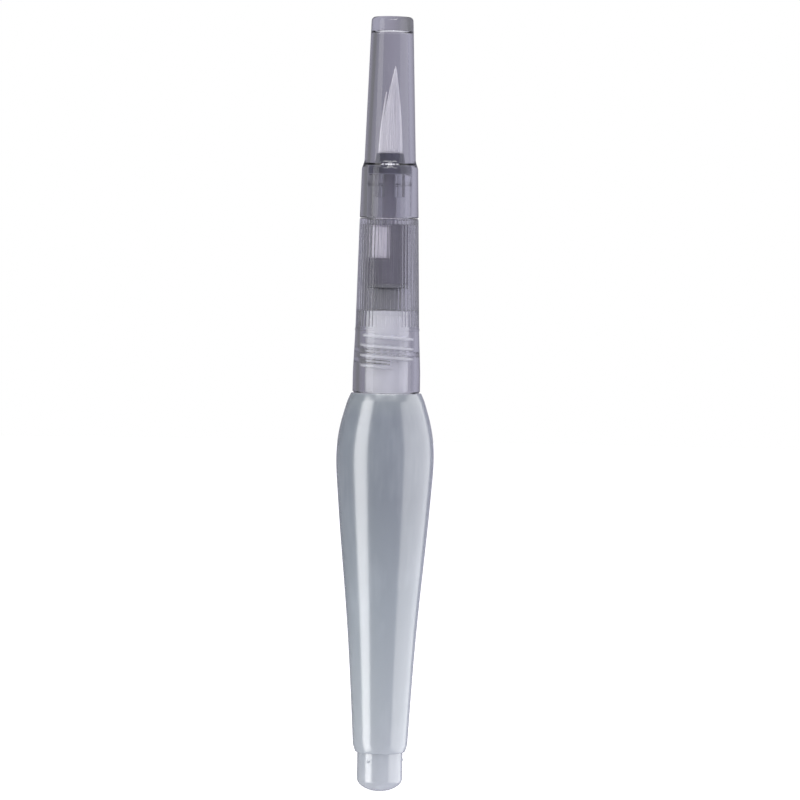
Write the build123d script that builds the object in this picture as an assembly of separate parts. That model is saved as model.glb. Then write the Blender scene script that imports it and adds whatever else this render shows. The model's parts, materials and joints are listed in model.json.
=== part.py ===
from build123d import *
import os

# A refillable brush pen: a soft squeeze barrel that holds the water, a clear grip that screws onto it
# and carries the feed and the brush, and a clear cap that pulls off. Millimetres, +Z along the pen's
# axis from the tail to the brush tip, origin at the centre of the tail's end. The front is -Y.

# ---- driving dimensions: barrel ----
BARREL_LENGTH = 79.9        # from the tail's end to the flat on top of the shoulder
BARREL_WALL = 0.85
TAIL_R = 4.55               # the post at the tail that the cap pushes onto
TAIL_LENGTH = 7.9
TAIL_END_ROUND = 2.6        # height of the oval end
TAIL_NUB_HEIGHT = 0.12      # nubs that grip the posted cap
TAIL_NUB_R = 0.4
TAIL_NUBS = 3
TAIL_NUB_DROP = 1.6         # from the post's upper end down to the nubs
HEEL_STEP = 0.45            # flat part of the step from the tail to the body
HEEL_R = 5.47               # body radius where the body begins
HEEL_HEIGHT = 1.5
HEEL_FILLETS = (0.1, 0.3)   # inside and outside corner of the step
BELLY_R = 9.77
BELLY_DROP = 12.5           # drops are measured down from the shoulder's flat
WAIST_Z = 35.0              # the slender half of the body
WAIST_SWELL = 0.39          # how much of the swell from heel to belly is reached there
FLANK_DROP = 25.7           # where the body swells fastest
FLANK_SWELL = 0.80
CHEEK_DROP = 18.5           # where the flank rounds over into the belly
CHEEK_SWELL = 0.935
BROW_DROP = 6.5             # the round between the belly and the crease
BROW_SWELL = 0.67           # how much of the swell from crease to belly is left there
CREASE_DROP = 1.5
CREASE_SLOPE = 0.45         # of the narrow facet above the crease, radius over height
SHOULDER_LEDGE = 0.26       # how far the shoulder's flat stands out past the grip
NECK_R = 4.35
NECK_WALL = 1.00
NECK_LENGTH = 15.5
STOP_LUG = (2.9, 0.65, 0.55)  # width, radial depth and height of the lug at the neck's foot
LUG_SINK = (0.3, 0.2)       # how far the lug runs into the neck and into the shoulder

# ---- driving dimensions: thread ----
THREAD_PITCH = 2.0          # left-handed
THREAD_DEPTH = 1.05
THREAD_ROOT_WIDTH = 0.90
THREAD_CREST_WIDTH = 0.45
THREAD_CLEARANCE = 0.15
THREAD_SINK = 0.15          # how far a ridge runs into the wall that it stands on
THREAD_LEAD = 0.1           # height over which a thread turns from its start to the front
NECK_TURNS = 3.35
NECK_THREAD_RISE = 5.1      # from the shoulder's flat to the first turn's middle
GRIP_TURNS = 1.75

# ---- driving dimensions: flow regulator, seal, wick and its holder ----
REGULATOR_FLANGE = 0.9
REGULATOR_PLUG_LENGTH = 5.0
REGULATOR_NOSE_R = 3.2
REGULATOR_NOSE_LENGTH = 4.65
REGULATOR_WALL = 0.8
ORIFICE_R = 0.4
ORIFICE_WEB = 1.0
PLUG_LEAD = (0.3, 0.5)      # chamfer on the plug's lower end, across and along
NOSE_CHAMFER = 0.3
SEAL_THICKNESS = 0.7
SEAL_HOLE_R = 2.2
HOLDER_R = 4.30
HOLDER_BLOCK = 5.05         # height of the solid block under the wick
HOLDER_BORE_R = 1.2
WICK_R = 3.20
WICK_LENGTH = 6.6

# ---- driving dimensions: grip, nozzle, brush and cap ----
GRIP_WALL = 1.19            # over the thread
GRIP_FOOT = 4.0             # height of the straight foot
GRIP_KNEE_HEIGHT = 12.4     # where the quick taper turns into the slow one
GRIP_KNEE_STEP = 0.36       # how much thinner the knee is than the foot
GRIP_FOOT_CHAMFER = 0.25
MOUTH_LEAD = 0.2            # chamfer inside the mouths of the grip and the cap
JOINT_CHAMFER = 0.15        # outer chamfers that face each other where the cap meets the grip
GRIP_TOP_WEB = 1.2
GRIP_STEP_ROOM = 0.2        # from the regulator's flange up to the step in the bore
GRIP_STEP_SLOPE = 0.1       # the step's rise for each mm it goes in
GRIP_RIBS = 48
RIB_GROOVE_R = 0.30
RIB_GROOVE_DEPTH = 0.13
RIB_LIP = 0.08              # the fine ring under the ribs
RIB_LIP_HEIGHT = 0.4
RIB_START = 0.8             # from the knee up to the first end of the ribs
RIB_TOP_MARGIN = 0.35
SPIGOT_R = 4.35
SPIGOT_LENGTH = 8.75
SPIGOT_WALL = 1.05
SPIGOT_BEAD_HEIGHT = 0.15
SPIGOT_BEAD_DROP = 1.8
BEAD_CREST = 0.2            # height of the bead's flat and of each of its slopes
SPIGOT_LEAD = 0.25          # chamfer on the spigot's end
FIN_COUNT = 4
FIN_THICKNESS = 0.5
FIN_LENGTH = 4.2
FIN_DROP = 0.3
FIN_SINK = 0.3              # how far a fin runs into the spigot's wall
NOZZLE_FLANGE = 1.4
NOZZLE_FLANGE_STEP = 0.05   # how far the flange stays inside the spigot's radius
NOZZLE_FLANGE_CHAMFER = 0.2
NOZZLE_NOSE_LENGTH = 2.8
NOZZLE_TIP_WALL = 0.30
NOZZLE_ROOT_WALL = 0.65
STEM_R = 1.45
CHANNEL_R = 0.7
TUFT_R = 2.43
TUFT_ROOT = 3.8             # length held inside the nozzle
TUFT_LENGTH = 17.4          # length that stands out of the nozzle
TUFT_POINT_R = 0.12
TUFT_MIDDLE = (0.76, 0.48)  # share of the radius left at a share of the free length
TUFT_POINT_SLOPE = 0.26     # radius over height at the point
CAP_WALL = 1.27             # at the mouth
CAP_SKIRT_DRAFT = 0.25      # how much thinner the skirt is at its upper end
CAP_STEP = 0.50             # chamfer from the skirt to the slender part, across
CAP_STEP_HEIGHT = 1.5
CAP_STEP_RISE = 0.25        # from the nozzle's flange up to the step in the cap's bore
CAP_STEP_SLOPE = 0.4        # height of that step
CAP_TOP_R = 4.16
CAP_INNER_WALL = 1.0
CAP_TIP_ROOM = 7.0          # from the brush tip to the end of the cap's bore
CAP_END = 2.8
CAP_END_ROUND = 0.6
CAP_BORE_CHAMFER = 0.5

# ---- clearances ----
SNUG = 0.02                 # pressed pieces, on radius
SLIP = 0.10                 # pieces that drop in, on radius
SEAT_GAP = 0.10             # the grip above the shoulder, and the cap above the grip
SEAL_GAP = 0.05             # each side of the seal
FIN_GAP = 0.05
CAP_CLEARANCE = 0.10        # the cap's bore over the spigot's bead

# ---- derived radii ----
NECK_BORE_R = NECK_R - NECK_WALL
GRIP_BORE_R = NECK_R + THREAD_DEPTH + THREAD_CLEARANCE
GRIP_FOOT_R = GRIP_BORE_R + GRIP_WALL
SHOULDER_R = GRIP_FOOT_R + SHOULDER_LEDGE
CAVITY_R = HOLDER_R + SLIP
SPIGOT_BORE_R = SPIGOT_R - SPIGOT_WALL
CAP_BORE_R = SPIGOT_R + SPIGOT_BEAD_HEIGHT + CAP_CLEARANCE
CAP_MOUTH_R = CAP_BORE_R + CAP_WALL
NOZZLE_POCKET_R = TUFT_R + SNUG

# ---- derived heights, from the shoulder up ----
CREASE_R = SHOULDER_R + CREASE_SLOPE * CREASE_DROP
WAIST_R = HEEL_R + WAIST_SWELL * (BELLY_R - HEEL_R)
FLANK_R = HEEL_R + FLANK_SWELL * (BELLY_R - HEEL_R)
CHEEK_R = HEEL_R + CHEEK_SWELL * (BELLY_R - HEEL_R)
BROW_R = CREASE_R + BROW_SWELL * (BELLY_R - CREASE_R)
MOUTH_Z = BARREL_LENGTH + NECK_LENGTH
NOSE_Z = MOUTH_Z + REGULATOR_FLANGE + REGULATOR_NOSE_LENGTH
SEAL_Z = NOSE_Z + SEAL_GAP
HOLDER_Z = SEAL_Z + SEAL_THICKNESS + SEAL_GAP
WICK_Z = HOLDER_Z + HOLDER_BLOCK
HOLDER_TOP_Z = WICK_Z + WICK_LENGTH + SEAT_GAP
GRIP_Z = BARREL_LENGTH + SEAT_GAP
GRIP_STEP_Z = MOUTH_Z + REGULATOR_FLANGE + GRIP_STEP_ROOM
CAVITY_TOP_Z = HOLDER_TOP_Z + SEAT_GAP
GRIP_TOP_Z = CAVITY_TOP_Z + GRIP_TOP_WEB
SPIGOT_TOP_Z = GRIP_TOP_Z + SPIGOT_LENGTH
FLANGE_TOP_Z = SPIGOT_TOP_Z + NOZZLE_FLANGE
NOZZLE_TOP_Z = FLANGE_TOP_Z + NOZZLE_NOSE_LENGTH
TUFT_TIP_Z = NOZZLE_TOP_Z + TUFT_LENGTH
CAP_Z = GRIP_TOP_Z + SEAT_GAP
CAP_STEP_Z = FLANGE_TOP_Z + CAP_STEP_RISE
CAP_BORE_END_Z = TUFT_TIP_Z + CAP_TIP_ROOM
CAP_TOP_Z = CAP_BORE_END_Z + CAP_END

QUARTER_OVAL = 0.5523       # handle length that makes a Bezier curve a quarter of an oval


def turned(*outline):
    """A solid turned about Z from (radius, height) corners joined by straight lines."""
    points = [(r, 0, z) for r, z in outline]
    return revolve(make_face(Polyline(*points, close=True)), Axis.Z)


def rod(radius, low, high):
    """A plain cylinder about Z between two heights."""
    return Pos(0, 0, low) * Cylinder(radius, high - low, align=(Align.CENTER, Align.CENTER, Align.MIN))


def around(shape, count, first=0.0):
    """Copies of a shape turned evenly about Z, as a list."""
    return [Rot(0, 0, first + 360 * i / count) * shape for i in range(count)]


def helical_ridge(root_r, crest_r, low, turns, front_z):
    """A left-handed thread ridge from root_r to crest_r that passes the front at front_z.

    It starts at height low. Its root is sunk a little into the wall that it stands on.
    """
    sunk_r = root_r - THREAD_SINK if crest_r > root_r else root_r + THREAD_SINK
    half_root, half_crest = THREAD_ROOT_WIDTH / 2, THREAD_CREST_WIDTH / 2
    section = make_face(Polyline(
        (sunk_r, 0, -half_root),
        (root_r, 0, -half_root),
        (crest_r, 0, -half_crest),
        (crest_r, 0, half_crest),
        (root_r, 0, half_root),
        (sunk_r, 0, half_root),
        close=True,
    ))
    path = Helix(THREAD_PITCH, THREAD_PITCH * turns, root_r, lefthand=True)
    ridge = sweep(section, path, is_frenet=True)
    turned_by = -90 + 360 * (front_z - low) / THREAD_PITCH
    return Pos(0, 0, low) * Rot(0, 0, turned_by) * ridge


def barrel_skin(inset):
    """The barrel below its neck as a solid, drawn inside the outer skin by inset."""
    top = BARREL_LENGTH - inset
    heel_z = TAIL_LENGTH + inset
    post_r = TAIL_R - inset
    end = Bezier(
        (0, 0, inset),
        (QUARTER_OVAL * post_r, 0, inset),
        (post_r, 0, TAIL_END_ROUND - QUARTER_OVAL * (TAIL_END_ROUND - inset)),
        (post_r, 0, TAIL_END_ROUND),
    )
    post = FilletPolyline(
        (post_r, 0, TAIL_END_ROUND),
        (post_r, 0, heel_z),
        (post_r + HEEL_STEP, 0, heel_z),
        (HEEL_R - inset, 0, heel_z + HEEL_HEIGHT),
        radius=HEEL_FILLETS,
    )
    body = Spline(
        (HEEL_R - inset, 0, heel_z + HEEL_HEIGHT),
        (WAIST_R - inset, 0, WAIST_Z),
        (FLANK_R - inset, 0, BARREL_LENGTH - FLANK_DROP),
        (CHEEK_R - inset, 0, BARREL_LENGTH - CHEEK_DROP),
        (BELLY_R - inset, 0, BARREL_LENGTH - BELLY_DROP),
        (BROW_R - inset, 0, BARREL_LENGTH - BROW_DROP),
        (CREASE_R - inset, 0, BARREL_LENGTH - CREASE_DROP),
    )
    rest = Polyline(
        (CREASE_R - inset, 0, BARREL_LENGTH - CREASE_DROP),
        (SHOULDER_R - inset, 0, top),
        (0, 0, top),
        (0, 0, inset),
    )
    return revolve(make_face(end + post + body + rest), Axis.Z)


def squeeze_barrel():
    """The blow-moulded water barrel with its tail post, neck and thread."""
    barrel = barrel_skin(0) + rod(NECK_R, BARREL_LENGTH - BARREL_WALL / 2, MOUTH_Z)
    first_turn_z = BARREL_LENGTH + NECK_THREAD_RISE
    crest_r = NECK_R + THREAD_DEPTH
    barrel += helical_ridge(NECK_R, crest_r, first_turn_z, NECK_TURNS, first_turn_z + THREAD_LEAD)
    width, depth, height = STOP_LUG
    inward, down = LUG_SINK
    lug = Box(width, depth + inward, height + down, align=(Align.CENTER, Align.MIN, Align.MIN))
    lug = Pos(0, -NECK_R - depth, BARREL_LENGTH - down) * lug
    barrel += lug & rod(crest_r, BARREL_LENGTH - down, BARREL_LENGTH + height)
    nub = Pos(TAIL_R - TAIL_NUB_R + TAIL_NUB_HEIGHT, 0, TAIL_LENGTH - TAIL_NUB_DROP) * Sphere(TAIL_NUB_R)
    barrel += around(nub, TAIL_NUBS)
    barrel -= barrel_skin(BARREL_WALL)
    return barrel - rod(NECK_BORE_R, BARREL_LENGTH - 2 * BARREL_WALL, MOUTH_Z)


def flow_regulator():
    """The plug in the barrel's mouth: a hollow nose that lets water through one small orifice."""
    plug_r = NECK_BORE_R - SNUG
    flange_r = NECK_R - SLIP
    flange_z = MOUTH_Z + REGULATOR_FLANGE
    low_z = MOUTH_Z - REGULATOR_PLUG_LENGTH
    body = turned(
        (0, low_z),
        (plug_r - PLUG_LEAD[0], low_z),
        (plug_r, low_z + PLUG_LEAD[1]),
        (plug_r, MOUTH_Z),
        (flange_r, MOUTH_Z),
        (flange_r, flange_z),
        (REGULATOR_NOSE_R, flange_z),
        (REGULATOR_NOSE_R, NOSE_Z - NOSE_CHAMFER),
        (REGULATOR_NOSE_R - NOSE_CHAMFER, NOSE_Z),
        (0, NOSE_Z),
    )
    hollow_r = REGULATOR_NOSE_R - REGULATOR_WALL
    body -= rod(hollow_r, low_z, NOSE_Z - ORIFICE_WEB)
    return body - rod(ORIFICE_R, NOSE_Z - 2 * ORIFICE_WEB, NOSE_Z)


def seal_ring():
    """The flat soft ring between the regulator's nose and the wick holder."""
    top = SEAL_Z + SEAL_THICKNESS
    return rod(HOLDER_R, SEAL_Z, top) - rod(SEAL_HOLE_R, SEAL_Z, top)


def wick_holder():
    """The dark carrier: a drilled block with a half shell above it that holds the wick from the right."""
    holder = rod(HOLDER_R, HOLDER_Z, HOLDER_TOP_Z)
    holder -= rod(WICK_R + SNUG, WICK_Z, HOLDER_TOP_Z)
    align = (Align.MAX, Align.CENTER, Align.MIN)
    window = Box(2 * HOLDER_R, 4 * HOLDER_R, HOLDER_TOP_Z - WICK_Z, align=align)
    holder -= Pos(0, 0, WICK_Z) * window
    return holder - rod(HOLDER_BORE_R, HOLDER_Z, WICK_Z)


def feed_wick():
    """The white porous block that meters the water."""
    return rod(WICK_R, WICK_Z, WICK_Z + WICK_LENGTH)


def grip_radius(height):
    """The grip's outer radius at a height on its slow taper."""
    low_r, low_z = GRIP_FOOT_R - GRIP_KNEE_STEP, GRIP_Z + GRIP_KNEE_HEIGHT
    return low_r + (CAP_MOUTH_R - low_r) * (height - low_z) / (GRIP_TOP_Z - low_z)


def rib_groove():
    """One groove between two ribs, cut along the slow taper at the right-hand side."""
    low = GRIP_Z + GRIP_KNEE_HEIGHT + RIB_START
    high = GRIP_TOP_Z - RIB_TOP_MARGIN
    out = RIB_GROOVE_R - RIB_GROOVE_DEPTH
    start = Vector(grip_radius(low) + out, 0, low)
    end = Vector(grip_radius(high) + out, 0, high)
    return Plane(start, z_dir=end - start) * Cylinder(
        RIB_GROOVE_R, (end - start).length, align=(Align.CENTER, Align.CENTER, Align.MIN))


def spigot():
    """The tube above the grip that the cap closes over, with its snap bead."""
    bead_z = SPIGOT_TOP_Z - SPIGOT_BEAD_DROP
    return turned(
        (0, CAVITY_TOP_Z),
        (SPIGOT_R, CAVITY_TOP_Z),
        (SPIGOT_R, bead_z - 1.5 * BEAD_CREST),
        (SPIGOT_R + SPIGOT_BEAD_HEIGHT, bead_z - BEAD_CREST / 2),
        (SPIGOT_R + SPIGOT_BEAD_HEIGHT, bead_z + BEAD_CREST / 2),
        (SPIGOT_R, bead_z + 1.5 * BEAD_CREST),
        (SPIGOT_R, SPIGOT_TOP_Z - SPIGOT_LEAD),
        (SPIGOT_R - SPIGOT_LEAD, SPIGOT_TOP_Z),
        (0, SPIGOT_TOP_Z),
    )


def grip_section():
    """The clear grip: threaded bore, ribbed outside, cavity for the holder, and the spigot."""
    knee_r, knee_z = GRIP_FOOT_R - GRIP_KNEE_STEP, GRIP_Z + GRIP_KNEE_HEIGHT
    grip = turned(
        (0, GRIP_Z),
        (GRIP_FOOT_R - GRIP_FOOT_CHAMFER, GRIP_Z),
        (GRIP_FOOT_R, GRIP_Z + GRIP_FOOT_CHAMFER),
        (GRIP_FOOT_R, GRIP_Z + GRIP_FOOT),
        (knee_r, knee_z),
        (knee_r + RIB_LIP, knee_z + RIB_LIP),
        (knee_r + RIB_LIP, knee_z + RIB_LIP_HEIGHT),
        (grip_radius(knee_z + RIB_LIP_HEIGHT + RIB_LIP), knee_z + RIB_LIP_HEIGHT + RIB_LIP),
        (CAP_MOUTH_R, GRIP_TOP_Z - JOINT_CHAMFER),
        (CAP_MOUTH_R - JOINT_CHAMFER, GRIP_TOP_Z),
        (0, GRIP_TOP_Z),
    )
    grip -= around(rib_groove(), GRIP_RIBS, 180 / GRIP_RIBS)
    grip += spigot()
    grip -= turned(
        (0, GRIP_Z),
        (GRIP_BORE_R + MOUTH_LEAD, GRIP_Z),
        (GRIP_BORE_R, GRIP_Z + MOUTH_LEAD),
        (GRIP_BORE_R, GRIP_STEP_Z),
        (CAVITY_R, GRIP_STEP_Z + GRIP_STEP_SLOPE * (GRIP_BORE_R - CAVITY_R)),
        (CAVITY_R, CAVITY_TOP_Z),
        (SPIGOT_BORE_R, CAVITY_TOP_Z),
        (SPIGOT_BORE_R, SPIGOT_TOP_Z),
        (0, SPIGOT_TOP_Z),
    )
    first_turn_z = BARREL_LENGTH + NECK_THREAD_RISE + THREAD_PITCH / 2
    crest_r = GRIP_BORE_R - THREAD_DEPTH
    grip += helical_ridge(GRIP_BORE_R, crest_r, first_turn_z, GRIP_TURNS, first_turn_z + THREAD_LEAD)
    fin_width = SPIGOT_BORE_R - STEM_R - FIN_GAP + FIN_SINK
    fin = Box(fin_width, FIN_THICKNESS, FIN_LENGTH, align=(Align.MIN, Align.CENTER, Align.MAX))
    fin = Pos(STEM_R + FIN_GAP, 0, SPIGOT_TOP_Z - FIN_DROP) * fin
    return grip + around(fin, FIN_COUNT, 45)


def brush_nozzle():
    """The dark nozzle: a flange on the spigot's end, a pocket for the tuft and a feed stem."""
    pocket_z = NOZZLE_TOP_Z - TUFT_ROOT
    flange_r = SPIGOT_R - NOZZLE_FLANGE_STEP
    nozzle = turned(
        (0, SPIGOT_TOP_Z),
        (flange_r, SPIGOT_TOP_Z),
        (flange_r, FLANGE_TOP_Z - NOZZLE_FLANGE_CHAMFER),
        (flange_r - NOZZLE_FLANGE_CHAMFER, FLANGE_TOP_Z),
        (NOZZLE_POCKET_R + NOZZLE_ROOT_WALL, FLANGE_TOP_Z),
        (NOZZLE_POCKET_R + NOZZLE_TIP_WALL, NOZZLE_TOP_Z),
        (0, NOZZLE_TOP_Z),
    )
    nozzle += rod(STEM_R, WICK_Z + WICK_LENGTH + SEAL_GAP, SPIGOT_TOP_Z)
    nozzle -= rod(NOZZLE_POCKET_R, pocket_z, NOZZLE_TOP_Z)
    return nozzle - rod(CHANNEL_R, WICK_Z + WICK_LENGTH, pocket_z)


def bristle_tuft():
    """The brush itself as one solid: a round root in the nozzle and a body drawn to a point."""
    outline = Polyline(
        (TUFT_POINT_R, 0, TUFT_TIP_Z),
        (0, 0, TUFT_TIP_Z),
        (0, 0, NOZZLE_TOP_Z - TUFT_ROOT),
        (TUFT_R, 0, NOZZLE_TOP_Z - TUFT_ROOT),
        (TUFT_R, 0, NOZZLE_TOP_Z),
    )
    side = Spline(
        (TUFT_R, 0, NOZZLE_TOP_Z),
        (TUFT_MIDDLE[0] * TUFT_R, 0, NOZZLE_TOP_Z + TUFT_MIDDLE[1] * TUFT_LENGTH),
        (TUFT_POINT_R, 0, TUFT_TIP_Z),
        tangents=[(0, 0, 1), (-TUFT_POINT_SLOPE, 0, 1)],
    )
    return revolve(make_face(outline + side), Axis.Z)


def cap():
    """The clear pull-off cap: a skirt over the spigot, a step, and a slender hollow end."""
    skirt_top_r = CAP_MOUTH_R - CAP_SKIRT_DRAFT
    slim_r = skirt_top_r - CAP_STEP
    step_z = CAP_STEP_Z - CAP_STEP
    outer = turned(
        (0, CAP_Z),
        (CAP_MOUTH_R - JOINT_CHAMFER, CAP_Z),
        (CAP_MOUTH_R, CAP_Z + JOINT_CHAMFER),
        (skirt_top_r, step_z),
        (slim_r, step_z + CAP_STEP_HEIGHT),
        (CAP_TOP_R, CAP_TOP_Z),
        (0, CAP_TOP_Z),
    )
    outer = fillet(outer.edges().sort_by(Axis.Z)[-1], CAP_END_ROUND)
    bore = turned(
        (0, CAP_Z),
        (CAP_BORE_R + MOUTH_LEAD, CAP_Z),
        (CAP_BORE_R, CAP_Z + MOUTH_LEAD),
        (CAP_BORE_R, CAP_STEP_Z),
        (slim_r - CAP_INNER_WALL, CAP_STEP_Z + CAP_STEP_SLOPE),
        (CAP_TOP_R - CAP_INNER_WALL, CAP_BORE_END_Z - CAP_BORE_CHAMFER),
        (CAP_TOP_R - CAP_INNER_WALL - CAP_BORE_CHAMFER, CAP_BORE_END_Z),
        (0, CAP_BORE_END_Z),
    )
    return outer - bore


os.makedirs("parts", exist_ok=True)
export_step(squeeze_barrel(), "parts/squeeze_barrel.step")
export_step(flow_regulator(), "parts/flow_regulator.step")
export_step(seal_ring(), "parts/seal_ring.step")
export_step(wick_holder(), "parts/wick_holder.step")
export_step(feed_wick(), "parts/feed_wick.step")
export_step(grip_section(), "parts/grip_section.step")
export_step(brush_nozzle(), "parts/brush_nozzle.step")
export_step(bristle_tuft(), "parts/bristle_tuft.step")
export_step(cap(), "parts/cap.step")
print(f"overall height {CAP_TOP_Z:.2f}, widest radius {BELLY_R:.2f}")
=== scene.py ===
"""A refillable brush pen: a soft squeeze barrel, a clear grip, a wick, a bristle tuft and a clear cap."""
import json
import logging
import math
from dataclasses import dataclass, field, replace
from enum import Enum
from typing import Any, Callable

import bmesh
import bpy
import numpy as np
from bpy.types import ID, Collection, ColorRamp, Material, Mesh, NodeSocket, NodeTree, Object
from mathutils import Matrix, Vector

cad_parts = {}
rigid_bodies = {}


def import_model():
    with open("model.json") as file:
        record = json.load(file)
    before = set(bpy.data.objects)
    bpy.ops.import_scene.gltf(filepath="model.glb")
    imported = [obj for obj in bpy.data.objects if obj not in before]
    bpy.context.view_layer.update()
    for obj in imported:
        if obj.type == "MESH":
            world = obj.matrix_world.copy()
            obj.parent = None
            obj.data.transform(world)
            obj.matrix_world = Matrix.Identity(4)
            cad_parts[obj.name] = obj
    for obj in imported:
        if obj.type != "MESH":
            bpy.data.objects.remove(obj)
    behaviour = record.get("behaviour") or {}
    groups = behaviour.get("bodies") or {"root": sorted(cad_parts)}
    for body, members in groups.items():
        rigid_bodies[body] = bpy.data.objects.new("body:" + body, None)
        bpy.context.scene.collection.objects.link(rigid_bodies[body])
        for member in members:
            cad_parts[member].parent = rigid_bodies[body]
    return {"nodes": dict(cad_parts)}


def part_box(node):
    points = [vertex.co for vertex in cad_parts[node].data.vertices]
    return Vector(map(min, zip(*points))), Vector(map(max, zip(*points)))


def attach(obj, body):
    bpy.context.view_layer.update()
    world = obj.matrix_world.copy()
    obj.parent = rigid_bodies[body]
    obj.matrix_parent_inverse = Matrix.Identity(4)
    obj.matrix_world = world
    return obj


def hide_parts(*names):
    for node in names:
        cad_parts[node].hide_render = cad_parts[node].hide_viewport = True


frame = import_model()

LOG = logging.getLogger("brush_pen")
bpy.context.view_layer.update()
MM = 0.001
TURN = 2 * math.pi
FRONT = -0.25    # the front's angle as a share of a turn from +X
MERGE_DISTANCE = 2e-6
EDGE = 0.01    # millimetres over which a marked stretch starts and ends
SHARP_ANGLE = math.radians(28)
THREAD_START = FRONT + 0.05    # share of a turn at which both threads start
THREAD_FADE = 0.15    # turns over which a thread's ends rise and fall
WHITE = (1.0, 1.0, 1.0, 1.0)
EVEN = (1.0, 1.0, 1.0)    # light of every colour spreads as far


class Slot(Enum):
    """The record's material slots that the rebuilt pieces take."""

    BARREL = "barrel_plastic"
    WICK = "wick_fibre"
    CLEAR = "clear_plastic"
    NYLON = "bristle_nylon"


class Body(Enum):
    """The pen's bodies that the rebuilt pieces ride on."""

    BARREL = "barrel"
    HEAD = "head"
    CAP = "cap"


class Mark(Enum):
    """What a stretch of a turned outline carries around the axis."""

    RIBS = "ribs"
    THREAD = "thread"
    BLOCKS = "blocks"
    NUBS = "nubs"


# ---- node writing ----

def arithmetic(operation: str, swapped: bool = False) -> Callable[["Signal", Any], "Signal"]:
    """An operator's method, which adds a Math node with the signal first, or second where swapped."""
    def method(signal: "Signal", other: Any) -> "Signal":
        """The operation's result."""
        pair = (other, signal) if swapped else (signal, other)
        return signal.graph.maths(operation, *pair)
    return method


@dataclass(eq=False)
class Signal:
    """A node's output socket that takes part in Python arithmetic."""

    graph: "Graph"
    socket: NodeSocket

    __add__ = __radd__ = arithmetic("ADD")
    __sub__, __rsub__ = arithmetic("SUBTRACT"), arithmetic("SUBTRACT", swapped=True)
    __mul__ = __rmul__ = arithmetic("MULTIPLY")
    __truediv__, __rtruediv__ = arithmetic("DIVIDE"), arithmetic("DIVIDE", swapped=True)
    __pow__ = arithmetic("POWER")

    def __abs__(self) -> "Signal":
        """The size without its sign."""
        return self.graph.maths("ABSOLUTE", self)

    def clamped(self, low: Any = 0.0, high: Any = 1.0) -> "Signal":
        """The value kept between two limits."""
        return self.graph.maths("MINIMUM", self.graph.maths("MAXIMUM", self, low), high)


class Graph:
    """A node tree that is being written."""

    def __init__(self, tree: NodeTree) -> None:
        """Keeps the tree and empties it."""
        self.tree = tree
        tree.nodes.clear()

    def node(self, kind: str, settings: dict | None = None, sockets: dict | None = None,
             output: int | str = 0) -> Signal:
        """Adds one node.

        Args:
            kind: the node's type.
            settings: its properties, or "stops" for a ramp, set first.
            sockets: values or signals for its inputs, by name or number.
            output: the output wanted.

        Returns:
            That output.
        """
        made = self.tree.nodes.new(kind)
        for key, value in (settings or {}).items():
            if key == "stops":
                self._set_stops(made.color_ramp, value)
            else:
                setattr(made, key, value)
        for key, value in (sockets or {}).items():
            self.plug(value, made.inputs[key])
        return Signal(self, made.outputs[output]) if made.outputs else None

    def plug(self, value: Any, socket: NodeSocket) -> None:
        """Links a signal to an input, or sets the input's own value."""
        if isinstance(value, Signal):
            self.tree.links.new(value.socket, socket)
        else:
            socket.default_value = value

    @staticmethod
    def _set_stops(ramp: ColorRamp, stops: list) -> None:
        """Gives a ramp its stops as (position, colour) pairs."""
        while len(ramp.elements) < len(stops):
            ramp.elements.new(0.5)
        for element, (position, colour) in zip(ramp.elements, stops):
            element.position = position
            element.color = colour

    def maths(self, operation: str, *values: Any) -> Signal:
        """A Math node on numbers or signals."""
        return self.node("ShaderNodeMath", {"operation": operation}, dict(enumerate(values)))

    def attribute(self, name: str, kind: str) -> Signal:
        """A named value of the geometry."""
        return self.node("GeometryNodeInputNamedAttribute", {"data_type": kind}, {"Name": name})

    def split(self, vector: Signal) -> tuple[Signal, Signal, Signal]:
        """The three parts of a vector."""
        first = self.node("ShaderNodeSeparateXYZ", None, {0: vector})
        return tuple(Signal(self, output) for output in first.socket.node.outputs)

    def joined(self, x: Any, y: Any, z: Any) -> Signal:
        """A vector from three parts."""
        return self.node("ShaderNodeCombineXYZ", None, {0: x, 1: y, 2: z})

    def mixed(self, share: Any, first: Any, second: Any) -> Signal:
        """A colour between two colours."""
        return self.node("ShaderNodeMix", {"data_type": "RGBA"}, {0: share, 6: first, 7: second}, 2)

    def place(self, squeeze: float = 1.0) -> Signal:
        """The point on the piece in its own frame, in millimetres, with its height scaled."""
        point = self.node("ShaderNodeTexCoord", output="Object")
        return self.node("ShaderNodeMapping", None,
                         {"Vector": point, "Scale": (1.0 / MM, 1.0 / MM, squeeze / MM)})

    def height(self) -> Signal:
        """The height on the piece, in millimetres."""
        return self.split(self.place())[2]

    def noise(self, grain: float, squeeze: float = 1.0, detail: float = 3.0) -> Signal:
        """Noise whose grains are about so many millimetres across, and longer up the pen if squeezed."""
        return self.node("ShaderNodeTexNoise", None,
                         {"Vector": self.place(squeeze), "Scale": 1 / grain, "Detail": detail}, "Fac")

    def bump(self, height: Signal, depth: float) -> Signal:
        """A normal bent by a height whose range of 1 stands for depth millimetres."""
        return self.node("ShaderNodeBump", None, {"Distance": depth * MM, "Height": height})


def rgb(red: float, green: float, blue: float) -> tuple[float, float, float, float]:
    """A screen colour as the linear colour that a socket takes."""
    def linear(c: float) -> float:
        """One channel."""
        return c / 12.92 if c <= 0.04045 else ((c + 0.055) / 1.055) ** 2.4
    return (linear(red), linear(green), linear(blue), 1.0)


# ---- finishes ----

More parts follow.
